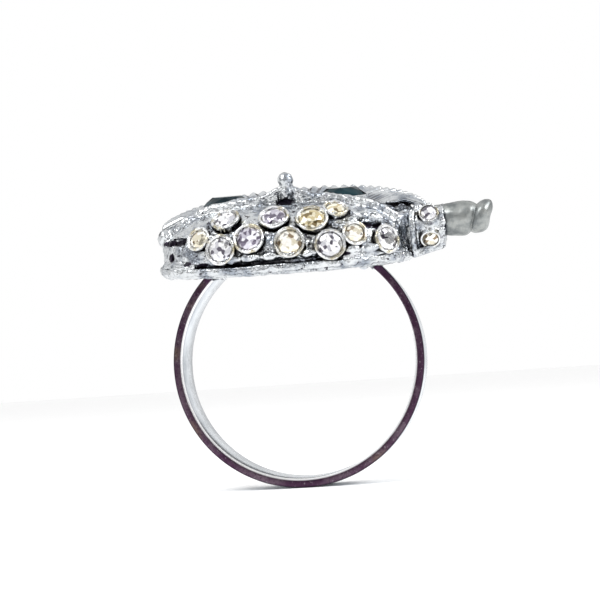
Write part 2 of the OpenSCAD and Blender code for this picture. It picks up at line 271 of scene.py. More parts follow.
@dataclass(frozen=True)
class CastPlate(Finish):
    """Bright plate on a lumpy casting, with painted shade in its crevices and in any given slots and rib
    grooves, and dark pits and veins.
    """

    bright: Colour = (0.62, 0.64, 0.655)
    shade: Colour = (0.3, 0.33, 0.375)
    # The colour of the painted shade in crevices, slots and grooves, and of the dark pits and veins.
    crevice_shade_and_pits: Colour = (0.022, 0.018, 0.028)
    roughness: float = 0.1
    lump: float = 0.9 * MM
    pits: float = 1.0
    grime: float = 0.6
    ribs: FanRibs | None = None
    grain: float = 1.0
    # Patches of painted shade in slots and hollows: each its middle and half-sizes.
    slots: tuple[tuple[Vector, Triple], ...] = ()
    crevice: float = 0.45 * MM

    def slot_shade(self, g: Graph) -> "Wire | float":
        """The painted shade of the casting's slots and hollows, each given by its middle and half-sizes in
        metres.

        Args:
            g: The material's tree.

        Returns:
            The painted shade, from 0 upwards.
        """
        dark: Wire | float = 0.0
        for middle, half in self.slots:
            away = g.node("VectorMath", {"operation": "SUBTRACT"}, {0: g.place(), 1: tuple(middle)})
            scaled = g.node("VectorMath", {"operation": "DIVIDE"}, {0: away.outputs[0], 1: half})
            reach = g.wire(g.node("VectorMath", {"operation": "LENGTH"}, {0: scaled.outputs[0]}), 1)
            ragged = reach + (g.noise(0.35 * MM, 2.0) - 0.5) * 0.7
            dark = (1.0 - g.ramp(ragged, 0.75, 1.05)) + dark
        return dark

    def rib_groove_shade(self, g: Graph) -> "Wire | float":
        """Painted shade in the grooves between the crest's ribs, or nothing on other pieces.

        Args:
            g: The material's tree.

        Returns:
            The painted shade, from 0 to 0.75.
        """
        if self.ribs is None:
            return 0.0
        ribs = self.ribs
        axes = g.node("SeparateXYZ", None, {0: g.place()})
        along = (g.wire(axes, 0) - ribs.middle_x * MM) * (1 / (ribs.half_l * MM))
        across = (g.wire(axes, 1) + ribs.shift_y * MM) * (1 / (ribs.half_w * MM))
        turns = math.pi * ribs.count / math.radians(ribs.sweep)
        phase = (across.angle_over(along) - math.radians(ribs.start)) * turns
        return (1.0 - g.ramp(abs(phase.sine()), 0.05, 0.6)) * 0.75

    def sockets(self, g: Graph) -> dict[Any, Link]:
        """Feed the main shader's sockets."""
        broad = g.noise(self.lump * 1.5, 3.0, 0.6)
        fine = g.noise(self.lump * 0.28, 4.0, 0.65)
        stain = g.ramp(g.noise(self.lump * 0.7, 4.0, 0.7), 0.56, 0.7) * self.grime
        pit = g.ramp(g.noise(self.lump * 0.5, 2.5, 0.6), 0.63, 0.68) * self.pits
        vein = 1.0 - g.ramp(abs(g.noise(self.lump * 0.95, 3.0, 0.6) - 0.5), 0.0, 0.02)
        vein = vein * g.ramp(broad, 0.5, 0.62) * 0.7 * self.pits
        # Painted shade: darker where ambient occlusion finds a crevice close by.
        painted_crevice_shade = 1.0 - g.ramp(g.shadow(self.crevice), 0.3, 0.74)
        dark = (painted_crevice_shade * 0.95 + pit * 0.9 + vein).clamped()
        dark = (dark + self.rib_groove_shade(g) + self.slot_shade(g)).clamped()
        colour = g.blend(g.ramp(broad, 0.42, 0.66), self.bright, self.shade)
        colour = g.blend(stain, colour, (0.17, 0.16, 0.2))
        # Painted shade, dark pits and veins all turn the colour towards the same dark.
        colour = g.blend(dark, colour, self.crevice_shade_and_pits)
        relief = g.bump(g.noise(self.lump * 0.42, 2.0, 0.5), 0.14 * MM * self.grain, 0.85)
        relief = g.bump(fine, 0.05 * MM * self.grain, 0.8, relief)
        relief = g.bump(1.0 - pit, 0.08 * MM, 0.8, relief)
        return {
            "Base Color": colour,
            "Metallic": 1.0,
            "Roughness": g.ramp(fine, 0.2, 0.8) * 0.1 + (self.roughness - 0.04) + dark * 0.25,
            "Normal": relief,
        }


@dataclass(frozen=True)
class ShankPlate(Finish):
    """Polished strip, satin inside, with mauve tarnish and scratches on its two edges, a painted highlight
    along each edge's inner corner and painted shade along its outer corner.
    """

    half_width: float = 2.0 * MM
    inside: float = 9.0 * MM

    def sockets(self, g: Graph) -> dict[Any, Link]:
        """Feed the main shader's sockets."""
        axes = g.node("SeparateXYZ", None, {0: g.place()})
        y = g.wire(axes, 1)
        radius = g.wire(g.node("VectorMath", {"operation": "LENGTH"},
                               {0: g.node("VectorMath", {"operation": "MULTIPLY"},
                                          {0: g.place(), 1: (1.0, 0.0, 1.0)}).outputs[0]}), 1)
        edge = g.ramp(abs(y), self.half_width - 0.12 * MM, self.half_width - 0.07 * MM)
        # Painted highlight along the inner corner of each edge, and painted shade along the outer corner.
        inner_edge_highlight = 1.0 - g.ramp(radius, self.inside + 0.1 * MM, self.inside + 0.19 * MM)
        outer_edge_shade = g.ramp(radius, self.inside + 0.56 * MM, self.inside + 0.66 * MM)
        patch = g.noise(2.6 * MM, 4.0, 0.7)
        speck = g.noise(0.22 * MM, 3.0, 0.7)
        mauve = g.blend(g.ramp(patch, 0.4, 0.66), (0.065, 0.03, 0.06), (0.14, 0.1, 0.13))
        mauve = g.blend(g.ramp(g.noise(4.5 * MM, 2.0), 0.55, 0.68), mauve, (0.15, 0.105, 0.085))
        mauve = g.blend(g.ramp(speck, 0.6, 0.68) * 0.5, mauve, (0.4, 0.37, 0.4))
        mauve = g.blend(g.ramp(speck, 0.44, 0.36) * 0.7, mauve, (0.035, 0.02, 0.035))
        # Paint the highlight and the shade into the edges' tarnish.
        mauve = g.blend(inner_edge_highlight, mauve, (0.95, 0.95, 0.96))
        mauve = g.blend(outer_edge_shade * 0.85, mauve, (0.03, 0.02, 0.035))
        wall = g.blend(g.ramp(patch, 0.36, 0.66), (0.66, 0.7, 0.74), (0.42, 0.46, 0.5))
        rim = g.ramp(abs(y), self.half_width * 0.55, self.half_width) * 0.5
        wall = g.blend(rim, wall, (0.25, 0.25, 0.28))
        brushed = g.noise(1.0, 3.0, 0.6, g.node("Mapping", None, {
            "Vector": g.place(), "Scale": (900.0, 14000.0, 900.0)}).outputs[0])
        relief = g.bump(brushed, 0.006 * MM, 0.5)
        relief = g.bump(speck, 0.02 * MM, 0.4, relief)
        return {
            "Base Color": g.blend(edge, wall, mauve),
            "Metallic": 1.0,
            "Roughness": edge * 0.1 + brushed * 0.14 + 0.16,
            "Normal": relief,
        }


@dataclass(frozen=True)
class SatinPlate(Finish):
    """Grey satin plate, brushed and slightly stained, with painted shade in its crevices."""

    light: Colour = (0.37, 0.385, 0.375)
    deep: Colour = (0.17, 0.185, 0.19)

    def sockets(self, g: Graph) -> dict[Any, Link]:
        """Feed the main shader's sockets."""
        stain = g.noise(1.4 * MM, 4.0, 0.65)
        grain = g.noise(0.09 * MM, 2.0, 0.6)
        # Painted shade: darker where ambient occlusion finds a crevice close by.
        painted_crevice_shade = 1.0 - g.ramp(g.shadow(0.45 * MM), 0.35, 0.8)
        colour = g.blend(g.ramp(stain, 0.35, 0.68), self.light, self.deep)
        colour = g.blend(g.ramp(grain, 0.6, 0.75) * 0.3, colour, (0.7, 0.66, 0.55))
        colour = g.blend(painted_crevice_shade * 0.95, colour, (0.03, 0.035, 0.05))
        relief = g.bump(grain, 0.012 * MM, 0.5)
        relief = g.bump(stain, 0.08 * MM, 0.4, relief)
        return {
            "Base Color": colour,
            "Metallic": 1.0,
            "Roughness": g.ramp(stain, 0.3, 0.7) * 0.12 + 0.34,
            "Normal": relief,
        }


@dataclass(frozen=True)
class CupPlate(Finish):
    """Thin pressed cups whose plate has yellowed at the rim, with painted shade in their crevices."""

    pale: Colour = (0.7, 0.71, 0.72)
    aged: Colour = (0.5, 0.46, 0.35)

    def sockets(self, g: Graph) -> dict[Any, Link]:
        """Feed the main shader's sockets."""
        wear = g.noise(0.8 * MM, 3.0, 0.6)
        # Painted shade: darker where ambient occlusion finds a crevice close by.
        painted_crevice_shade = 1.0 - g.ramp(g.shadow(0.25 * MM), 0.2, 0.6)
        colour = g.blend(g.ramp(wear, 0.46, 0.64), self.pale, self.aged)
        colour = g.blend(painted_crevice_shade * 0.9, colour, (0.05, 0.035, 0.02))
        return {
            "Base Color": colour,
            "Metallic": 1.0,
            "Roughness": wear * 0.2 + 0.06,
            "Normal": g.bump(g.noise(0.22 * MM, 3.0), 0.06 * MM, 0.8),
        }


@dataclass(frozen=True)
class FoiledGlass(Finish):
    """Cut glass on a foil back, its facets' bright and dark reflections painted into its colour as random
    splinters.
    """

    # light and dark are painted reflections; body is the glass's own colour.
    light: Colour
    body: Colour
    dark: Colour
    splinter: float = 0.3 * MM
    dark_reflection_share: float = 0.5

    def sockets(self, g: Graph) -> dict[Any, Link]:
        """Feed the main shader's sockets."""
        cells = g.node("TexVoronoi", {"feature": "F1", "voronoi_dimensions": "3D"},
                       {"Vector": g.place(), "Scale": 1.0 / self.splinter, "Randomness": 1.0})
        split = g.node("SeparateColor", None, {0: cells.outputs["Color"]})
        pick, tone = g.wire(split, 0), g.wire(split, 1)
        # Painted reflections: each splinter takes the bright reflection, the body colour or the dark
        # reflection.
        colour = g.blend(g.ramp(tone, 0.25, 0.75), self.light, self.body)
        colour = g.blend(g.ramp(pick, 1.0 - self.dark_reflection_share, 1.0 - self.dark_reflection_share + 0.12), colour, self.dark)
        return {
            "Base Color": colour,
            "Metallic": 0.75,
            "Roughness": tone * 0.1 + 0.04,
            "Coat Weight": 1.0,
            "Coat Roughness": 0.02,
            "Normal": g.bump(pick, 0.04 * MM, 0.5),
        }


@dataclass(frozen=True)
class DarkGlass(Finish):
    """Black glass with a teal depth, polished flat, with a few fine wear marks."""

    def sockets(self, g: Graph) -> dict[Any, Link]:
        """Feed the main shader's sockets."""
        cloud = g.noise(1.6 * MM, 3.0)
        scratch = g.ramp(g.noise(0.16 * MM, 3.0, 0.7), 0.62, 0.7)
        colour = g.blend(g.ramp(cloud, 0.35, 0.7), (0.002, 0.005, 0.008), (0.007, 0.028, 0.036))
        return {
            "Base Color": colour,
            "Roughness": scratch * 0.12 + 0.1,
            "IOR": 1.25,
            "Specular IOR Level": 0.35,
            "Normal": g.bump(cloud, 0.01 * MM, 0.3),
        }


@dataclass(frozen=True)
class StudioPaper(Finish):
    """A matt studio surface with a faint grain."""

    tone: float

    def sockets(self, g: Graph) -> dict[Any, Link]:
        """Feed the main shader's sockets."""
        grain = g.noise(9.0 * MM, 2.0)
        colour = g.blend(g.ramp(grain, 0.3, 0.7), (self.tone,) * 3, (self.tone * 0.985,) * 3)
        return {"Base Color": colour, "Roughness": 0.9, "Specular IOR Level": 0.1}


# ---- bench: modelling by operators ----


class Bench:
    """Selecting, making, joining and finishing meshes by operators."""

    @staticmethod
    def clear() -> None:
        """Leave edit mode and deselect everything."""
        if bpy.context.mode != "OBJECT":
            bpy.ops.object.mode_set(mode="OBJECT")
        bpy.ops.object.select_all(action="DESELECT")

    @staticmethod
    def take(obj: Piece) -> Piece:
        """Select one object alone and make it the active one."""
        Bench.clear()
        obj.select_set(True)
        bpy.context.view_layer.objects.active = obj
        return obj

    @staticmethod
    def made(name: str) -> Piece:
        """Name the object that an operator has just added."""
        obj = bpy.context.view_layer.objects.active
        obj.name = name
        obj.data.name = name
        return obj

    @staticmethod
    def copy_of(node: str, name: str) -> Piece:
        """A merged copy of a CAD node's mesh.

        Args:
            node: The CAD node.
            name: The copy's name.

        Returns:
            The copy, at the origin.
        """
        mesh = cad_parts[node].data.copy()
        obj = bpy.data.objects.new(name, mesh)
        bpy.context.scene.collection.objects.link(obj)
        mesh.materials.clear()
        Bench.take(obj)
        bpy.ops.object.mode_set(mode="EDIT")
        bpy.ops.mesh.select_all(action="SELECT")
        bpy.ops.mesh.remove_doubles(threshold=2e-7)
        bpy.ops.object.mode_set(mode="OBJECT")
        return obj

    @staticmethod
    def ball(centre: Vector, size: Sequence[float]) -> Piece:
        """A stretched ball that will be melted into a casting.

        Args:
            centre: Its centre.
            size: Its three half-lengths.

        Returns:
            The ball.
        """
        Bench.clear()
        bpy.ops.mesh.primitive_ico_sphere_add(subdivisions=3, radius=1.0)
        obj = Bench.made("ball")
        obj.matrix_world = Matrix.LocRotScale(centre, None, Vector(size))
        bpy.ops.object.transform_apply()
        return obj

    @staticmethod
    def rod(start: Vector, end: Vector, radius_start: float, radius_end: float,
            sides: int = 14) -> Piece:
        """A tapered rod between two points.

        Args:
            start: Its first end.
            end: Its last end.
            radius_start: Its radius at the first.
            radius_end: Its radius at the last.
            sides: How many sides it has.

        Returns:
            The rod.
        """
        Bench.clear()
        along = end - start
        bpy.ops.mesh.primitive_cone_add(vertices=sides, radius1=radius_start, radius2=radius_end,
                                        depth=along.length)
        obj = Bench.made("rod")
        obj.matrix_world = Matrix.LocRotScale((start + end) / 2, along.to_track_quat("Z", "Y"), None)
        bpy.ops.object.transform_apply()
        return obj

    @staticmethod
    def rods(points: Sequence[Vector], radius: float) -> list[Piece]:
        """Rods of one radius from each point to the next."""
        return [Bench.rod(start, end, radius, radius) for start, end in zip(points, points[1:])]

    @staticmethod
    def join(name: str, parts: Iterable[Piece]) -> Piece:
        """Join parts into one object.

        Args:
            name: The joined object's name.
            parts: What is joined.

        Returns:
            The joined object.
        """
        listed = list(parts)
        Bench.clear()
        for part in listed:
            part.select_set(True)
        bpy.context.view_layer.objects.active = listed[0]
        bpy.ops.object.join()
        return Bench.made(name)

    @staticmethod
    def modify(obj: Piece, kind: str, **settings: Any) -> None:
        """Add a modifier, set it and apply it.

        Args:
            obj: The object that it works on.
            kind: The modifier's type name.
            settings: The modifier's own settings.
        """
        Bench.take(obj)
        made = obj.modifiers.new(kind.lower(), kind)
        for key, value in settings.items():
            setattr(made, key, value)
        bpy.ops.object.modifier_apply(modifier=made.name)

    @staticmethod
    def carve(obj: Piece, tool: Piece) -> None:
        """Cut a tool's shape out of an object and throw the tool away."""
        Bench.modify(obj, "BOOLEAN", operation="DIFFERENCE", object=tool, solver="EXACT")
        bpy.data.objects.remove(tool)

    @staticmethod
    def swell(obj: Piece, size: float, height: float) -> None:
        """Raise and sink an object's surface in soft lumps.

        Args:
            obj: The object.
            size: The lumps' size, in metres.
            height: From the lowest to the highest, in metres.
        """
        cloud = bpy.data.textures.new("lumps", "CLOUDS")
        cloud.noise_scale = size
        Bench.modify(obj, "DISPLACE", texture=cloud, texture_coords="LOCAL", mid_level=0.5, strength=height)

    @staticmethod
    def melt(obj: Piece, voxel: float, rounds: int, swell: Sequence[Pair]) -> None:
        """Turn joined shapes into one lumpy casting.

        Args:
            obj: The joined shapes.
            voxel: The size of the new mesh's faces.
            rounds: How many rounds of smoothing it gets.
            swell: Each layer of lumps: (their size, their height).
        """
        Bench.modify(obj, "REMESH", mode="VOXEL", voxel_size=voxel, adaptivity=0.0)
        Bench.modify(obj, "SMOOTH", factor=0.5, iterations=rounds)
        for size, height in swell:
            Bench.swell(obj, size, height)
        Bench.take(obj)
        bpy.ops.object.shade_smooth()


def direction(turn: float, climb: float) -> Vector:
    """The direction so many degrees round from -Y, towards +X, and so many up."""
    round_z, up = math.radians(turn), math.radians(climb)
    return Vector((math.sin(round_z) * math.cos(up), -math.cos(round_z) * math.cos(up), math.sin(up)))


def dress(obj: Piece, material: Material) -> None:
    """Give an object one material all over.

    Args:
        obj: The object.
        material: Its material.
    """
    slots = obj.data.materials
    if len(slots) == 0:
        slots.append(material)
    for number in range(len(slots)):
        slots[number] = material


def fit_in(piece: Piece, material: Material, slot: str, *nodes: str) -> None:
    """Finish a new piece and hand it over to the frame.

    Args:
        piece: The new piece.
        material: Its material.
        slot: The record's material slot; not used.
        nodes: The CAD nodes that it stands for.
    """
    dress(piece, material)
    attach(piece, "root")
    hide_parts(*nodes)
    log.info("%s: %d faces, stands for %s", piece.name, len(piece.data.polygons), ", ".join(nodes))


# ---- the head's frame ----


@dataclass(frozen=True)
class HeadFrame:
    """Where the head sits on the shank, and the outline of its dome."""

    finger_r: float = 9.0
    foot_gap: float = 10.4
    lean: float = 8.0
    mask_x: float = -0.4
    half_l: float = 9.7
    half_w: float = 7.2
    plate_t: float = 0.8
    plate_lip: float = 0.3
    dome_h: float = 4.6
    face_h: float = 3.3
    nose_x: float = 0.6
    nose_y: float = -2.9
    squareness: float = 2.5
    ferrule_gap: float = 0.05
    ferrule_l: float = 2.3
    handle_y: float = -0.8
    handle_h: float = 2.0

    @property
    def ferrule_x(self) -> float:
        """Where the ferrule starts, along X from the mask's centre."""
        return self.half_l + self.plate_lip + self.ferrule_gap

    @property
    def plate_z(self) -> float:
        """Height of the back plate's underside over the shank's middle."""
        return math.sqrt(self.finger_r ** 2 - (self.foot_gap / 2) ** 2)

    @property
    def turn(self) -> Matrix:
        """The lean of the head, as a turn about X."""
        return Matrix.Rotation(math.radians(self.lean), 4, "X")

    def at(self, x: float, y: float, h: float) -> Vector:
        """A point given from the mask's centre on the back plate's top, in metres in the row's frame."""
        point = self.turn @ Vector((x + self.mask_x, y, h + self.plate_t))
        return (point + Vector((0, 0, self.plate_z))) * MM

    def rise(self, x: float, y: float) -> float:
        """Height of the dome over a point."""
        left = 1 - (abs(x) / self.half_l) ** self.squareness - (abs(y) / self.half_w) ** self.squareness
        return self.dome_h * max(left, 0.0) ** (1 / self.squareness)

    def wall_y(self, x: float, h: float) -> float:
        """Place of the dome's near wall at a height."""
        left = 1 - (abs(x) / self.half_l) ** self.squareness - (h / self.dome_h) ** self.squareness
        return -self.half_w * max(left, 0.0) ** (1 / self.squareness)

    def outward(self, x: float, h: float) -> Vector:
        """Direction that the near wall faces, in the row's frame.

        Args:
            x: The place along the mask.
            h: The height above the back plate.

        Returns:
            A vector of length 1.
        """
        y = self.wall_y(x, h)
        power = self.squareness
        facing = Vector((math.copysign(abs(x) ** (power - 1), x) / self.half_l ** power,
                         math.copysign(abs(y) ** (power - 1), y) / self.half_w ** power,
                         max(h, 0.01) ** (power - 1) / self.dome_h ** power)).normalized()
        return self.turn.to_3x3() @ facing

    def on_wall(self, x: float, h: float, proud: float = 0.0) -> Vector:
        """A point on the near wall, standing proud of it by so many millimetres."""
        return self.at(x, self.wall_y(x, h), h) + self.outward(x, h) * proud * MM


HEAD = HeadFrame()


# ---- sub-assemblies ----


@dataclass
class Shank:
    """The flat strip that goes round the finger."""

    inside: float = 9.0
    thick: float = 0.7
    width: float = 4.0
    edge: float = 0.09
    overlap: float = 0.02
    sides: int = 192
    finish: ShankPlate = field(default_factory=lambda: ShankPlate("shank_plate"))

    def build(self) -> Piece:
        """Turn a wide thin tube, cut its top off along the back plate, and thicken and bevel it.

        Returns:
            The shank.
        """
        Bench.clear()
        bpy.ops.mesh.primitive_cylinder_add(vertices=self.sides, radius=(self.inside + self.thick) * MM,
                                            depth=self.width * MM, end_fill_type="NOTHING",
                                            rotation=(math.pi / 2, 0, 0))
        obj = Bench.made("shank_strip")
        bpy.ops.object.transform_apply()
        bpy.ops.object.mode_set(mode="EDIT")
        bpy.ops.mesh.select_all(action="SELECT")
        up = HEAD.turn.to_3x3() @ Vector((0, 0, 1))
        cut = (0, 0, (HEAD.plate_z - self.overlap) * MM)
        bpy.ops.mesh.bisect(plane_co=cut, plane_no=up, clear_outer=True)
        bpy.ops.mesh.select_all(action="SELECT")
        bpy.ops.mesh.normals_make_consistent(inside=False)
        bpy.ops.object.mode_set(mode="OBJECT")
        Bench.modify(obj, "SOLIDIFY", thickness=self.thick * MM, offset=-1.0, use_even_offset=True)
        Bench.modify(obj, "BEVEL", width=self.edge * MM, segments=2, limit_method="ANGLE", angle_limit=1.0)
        Bench.take(obj)
        bpy.ops.object.shade_smooth_by_angle(angle=math.radians(25))
        return obj

    def dress(self) -> None:
        """Build, finish and hand over the strip; the solder keeps its CAD shape."""
        fit_in(self.build(), self.finish.make(), "tarnished_plate", "shank")
        solder = CastPlate("solder_plate", bright=(0.75, 0.76, 0.78), pits=0.5)
        dress(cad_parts["shank_solder"], solder.make())


def nose_hollow() -> Piece:
    """The cutter of the hollow under the nose's ball, which painted shade darkens."""
    centre = HEAD.at(HEAD.nose_x, HEAD.nose_y - 0.62, HEAD.dome_h - 0.25)
    return Bench.ball(centre, (0.72 * MM, 0.6 * MM, 0.36 * MM))


def shade_under_nose() -> tuple[Vector, Triple]:
    """Where the painted shade of the hollow under the nose lies, and its half-sizes."""
    centre = HEAD.at(HEAD.nose_x - 0.1, HEAD.nose_y - 0.6, HEAD.dome_h - 0.2)
    return centre, (0.75 * MM, 0.9 * MM, 0.36 * MM)


@dataclass
class Casting:
    """The hollow cast mask and the plate that closes its back.

    Places are (along X, height) on the near wall, or (along X, along Y, height), in millimetres from the
    mask's centre on the back plate's top.
    """

    voxel: float = 0.1013
    groove_voxel: float = 0.1001
    groove_r: float = 0.3
    slot_depth: float = 0.14
    scallop_size: Triple = (0.75, 0.42, 0.34)
    bead_size: Triple = (0.34, 0.34, 0.3)
    foot_r: float = 0.27
    lid_r: float = 0.26
    lumps: tuple[Pair, ...] = ((1.1, 0.24), (0.42, 0.16), (0.2, 0.06))
    scallops: tuple[Pair, ...] = (
        (-3.4, 0.55), (-1.9, 0.62), (-0.5, 0.6), (1.0, 0.6), (2.5, 0.62), (5.6, 0.6), (6.8, 0.62))
    beads: tuple[Pair, ...] = (
        (-5.0, 3.1), (-2.6, 2.55), (-1.2, 2.3), (1.3, 2.45), (-4.9, 2.15), (2.35, 1.35), (6.4, 1.1),
        (4.4, 2.4), (3.9, 3.7))
    slots: tuple[tuple[float, float, float, float, float], ...] = (
        (-8.7, 1.95, -7.1, 2.0, 0.36), (6.4, 2.35, 7.8, 2.12, 0.3), (-8.6, 0.75, -8.3, 1.0, 0.36),
        (3.3, 2.5, 3.7, 2.3, 0.22), (-2.9, 2.75, -2.6, 3.0, 0.2), (5.0, 3.5, 5.5, 3.3, 0.2))
    fillings: tuple[Four, ...] = (
        (7.9, 0.9, 2.95, 0.75), (8.4, 1.9, 3.2, 0.75), (8.9, 1.5, 3.0, 0.8), (9.4, 1.0, 2.7, 0.65),
        (8.3, 2.2, 2.6, 0.7))
    # Patches of painted shade in the slots and recesses, each (along X, height, width, height) on the near
    # wall.
    recess_shades: tuple[Four, ...] = (
        (-7.85, 2.0, 0.95, 0.24), (-8.7, 1.9, 0.6, 0.22), (6.55, 2.3, 0.5, 0.2), (7.45, 2.12, 0.4, 0.18),
        (-8.4, 0.85, 0.28, 0.3), (-6.9, 0.35, 0.3, 0.16), (-5.7, 0.25, 0.4, 0.12), (3.5, 2.4, 0.3, 0.16),
        (-2.75, 2.9, 0.2, 0.3), (5.2, 3.4, 0.3, 0.14), (5.0, 0.35, 0.5, 0.14))
    foot_runs: tuple[tuple[float, ...], ...] = (
        (-9.3, -8.6, -7.8, -7.0, -6.2), (4.9, 5.8, 6.8, 7.8, 8.7, 9.3))
    groove_run: tuple[float, ...] = (-6.2, -4.5, -2.5, -0.5, 1.5, 3.2, 4.7)
    lid: tuple[Pair, ...] = ((5.5, 3.05), (6.6, 2.85), (7.8, 2.5), (8.5, 1.9))

    @property
    def finish(self) -> CastPlate:
        """The mask's plate, with painted shade in its slots and other recesses and under the nose."""
        # Turn each patch of painted shade into a middle and half-sizes for the plate.
        slots = [(HEAD.on_wall(x, h), (1.25 * wide * MM, 2.0 * MM, 1.3 * high * MM))
                 for x, h, wide, high in self.recess_shades]
        slots.append(shade_under_nose())
        return CastPlate("mask_plate", slots=tuple(slots))

    def extras(self) -> list[Piece]:
        """The scallops under the stones, the beads between them and the knobs of the temples.

        Returns:
            Balls and rods to melt into the casting.
        """
        made: list[Piece] = []
        for places, size in ((self.scallops, self.scallop_size), (self.beads, self.bead_size)):
            half = [length * MM for length in size]
            made.extend(Bench.ball(HEAD.on_wall(x, h, 0.05), half) for x, h in places)
        for side in (-1, 1):
            tip = HEAD.at(side * 9.15, -1.8, 2.3)
            made.append(Bench.rod(HEAD.at(side * 8.9, -2.6, 0.3), tip, 0.5 * MM, 0.42 * MM))
            top = HEAD.at(HEAD.nose_x + side * 0.15, HEAD.nose_y - 0.3, HEAD.dome_h + 0.9)
            foot = HEAD.at(HEAD.nose_x + side * 1.9, HEAD.nose_y - 0.35, HEAD.rise(1.9, HEAD.nose_y) + 0.25)
            made.append(Bench.rod(foot, top, 0.34 * MM, 0.26 * MM))
        for side in (-1, 1):
            for x, y, h, size in self.fillings:
                half = (size * MM, 1.1 * size * MM, 0.75 * size * MM)
                made.append(Bench.ball(HEAD.at(side * x, y, h), half))
        for run in self.foot_runs:
            foot = [HEAD.at(x, HEAD.wall_y(x, 0.05) - 0.02, 0.1) for x in run]
            made.extend(Bench.rods(foot, self.foot_r * MM))
        made.extend(Bench.rods([HEAD.on_wall(x, h, 0.1) for x, h in self.lid], self.lid_r * MM))
        return made

    def groove(self) -> Piece:
        """The cutter of the undercut that runs along the foot of the near wall."""
        points = [HEAD.at(x, HEAD.wall_y(x, 0.05) - 0.1, 0.08) for x in self.groove_run]
        return Bench.join("groove", Bench.rods(points, self.groove_r * MM))

    def build(self) -> Piece:
        """Carve the groove, the hollow and the slots, add the scallops and knobs, and melt it all together.

        Returns:
            The cast mask.
        """
        body = Bench.copy_of("mask_casting", "mask_cast")
        groove = self.groove()
        Bench.modify(groove, "REMESH", mode="VOXEL", voxel_size=self.groove_voxel * MM)
        Bench.carve(body, groove)
        Bench.carve(body, nose_hollow())
        for x1, h1, x2, h2, size in self.slots:
            ends = HEAD.on_wall(x1, h1, -self.slot_depth), HEAD.on_wall(x2, h2, -self.slot_depth)
            Bench.carve(body, Bench.rod(*ends, size * MM, size * MM))
        body = Bench.join("mask_cast", [body, *self.extras()])
        swell = [(size * MM, height * MM) for size, height in self.lumps]
        Bench.melt(body, self.voxel * MM, 3, swell)
        return body

    def build_plate(self) -> Piece:
        """Melt the back plate, so that its rim is as lumpy as the mask.

        Returns:
            The plate.
        """
        plate = Bench.copy_of("back_plate", "back_plate_cast")
        Bench.melt(plate, self.voxel * MM, 9, [(1.3 * MM, 0.2 * MM), (0.4 * MM, 0.12 * MM)])
        return plate

    def dress(self) -> None:
        """Finish and hand over the casting and its plate."""
        fit_in(self.build(), self.finish.make(), "bright_plate", "mask_casting")
        fit_in(self.build_plate(), CastPlate("rim_plate").make(), "bright_plate", "back_plate")


@dataclass
class Nose:
    """The nose stud, whose ball stands above the brow, with a hollow under it that painted shade darkens.
    """

    voxel: float = 0.0801
    # The nose's plate, with painted shade in the hollow under it.
    finish: CastPlate = field(default_factory=lambda: CastPlate(
        "nose_plate", pits=0.6, slots=(shade_under_nose(),)))

    def build(self) -> Piece:
        """Carve the hollow out of the nose and melt it.

        Returns:
            The nose.
        """
        stem = Bench.copy_of("nose", "nose_cast")
        Bench.carve(stem, nose_hollow())
        Bench.melt(stem, self.voxel * MM, 3, [(0.7 * MM, 0.16 * MM), (0.3 * MM, 0.05 * MM)])
        return stem

    def dress(self) -> None:
        """Finish and hand over the nose."""
        fit_in(self.build(), self.finish.make(), "bright_plate", "nose")


@dataclass
class Crest:
    """The fan behind the eyes: a sheet with a raised rib for each flute."""

    out: float = 0.7
    width: float = 3.2
    thick: float = 0.4
    end_h: float = 0.1
    peak_h: float = 1.3
    flutes: int = 36
    droop: float = 0.9
    start: float = 11.0
    sweep: float = 172.0
    hidden_ribs: int = 2
    rib_r: Triple = (0.12, 0.18, 0.25)
    voxel: float = 0.0851

    @property
    def finish(self) -> CastPlate:
        """The fan's plate, with painted shade between its ribs."""
        ribs = FanRibs(self.flutes, self.start, self.sweep, HEAD.mask_x + HEAD.nose_x)
        return CastPlate("crest_plate", pits=0.2, grime=0.2, ribs=ribs, grain=0.2, roughness=0.16,
                         crevice=0.6 * MM, lump=1.4 * MM)

    def point(self, turn: float, share: float, lift: float) -> Vector:
        """A point on the fan's top.

        Args:
            turn: Degrees round the mask, from its handle end.
            share: Share of the width, from the inner edge.
            lift: How far above the top it is.

        Returns:
            The point in the row's frame.
        """
        angle = math.radians(turn)
        inset = self.out - self.width * (1 - share)
        edge = self.end_h + (self.peak_h - self.end_h) * max(math.sin(angle), 0.0) ** 0.8
        sag = self.droop * abs(math.cos(angle)) ** 3 * max(share - 0.45, 0.0) / 0.55
        top = 0.3 + (edge + self.thick - 0.3) * share ** 0.8 - sag
        return HEAD.at(HEAD.nose_x + (HEAD.half_l + inset) * math.cos(angle),
                       (HEAD.half_w + inset) * math.sin(angle), HEAD.face_h + top + lift)

    def build(self) -> Piece:
        """Lay a rib of two rods along each flute of the sheet and melt them into it.

        Returns:
            The fan.
        """
        parts = [Bench.copy_of("crest", "crest_fan")]
        slim, mid, full = (radius * MM for radius in self.rib_r)
        for number in range(-self.hidden_ribs, self.flutes):
            turn = self.start + self.sweep * (number + 0.5) / self.flutes
            middle = self.point(turn, 0.5, 0.04)
            parts.append(Bench.rod(self.point(turn, 0.04, 0.0), middle, slim, mid, 10))
            parts.append(Bench.rod(middle, self.point(turn, 0.97, 0.02), mid, full, 10))
        fan = Bench.join("crest_fan", parts)
        Bench.melt(fan, self.voxel * MM, 1, [(0.9 * MM, 0.06 * MM)])
        return fan

    def dress(self) -> None:
        """Finish and hand over the fan."""
        fit_in(self.build(), self.finish.make(), "bright_plate", "crest")


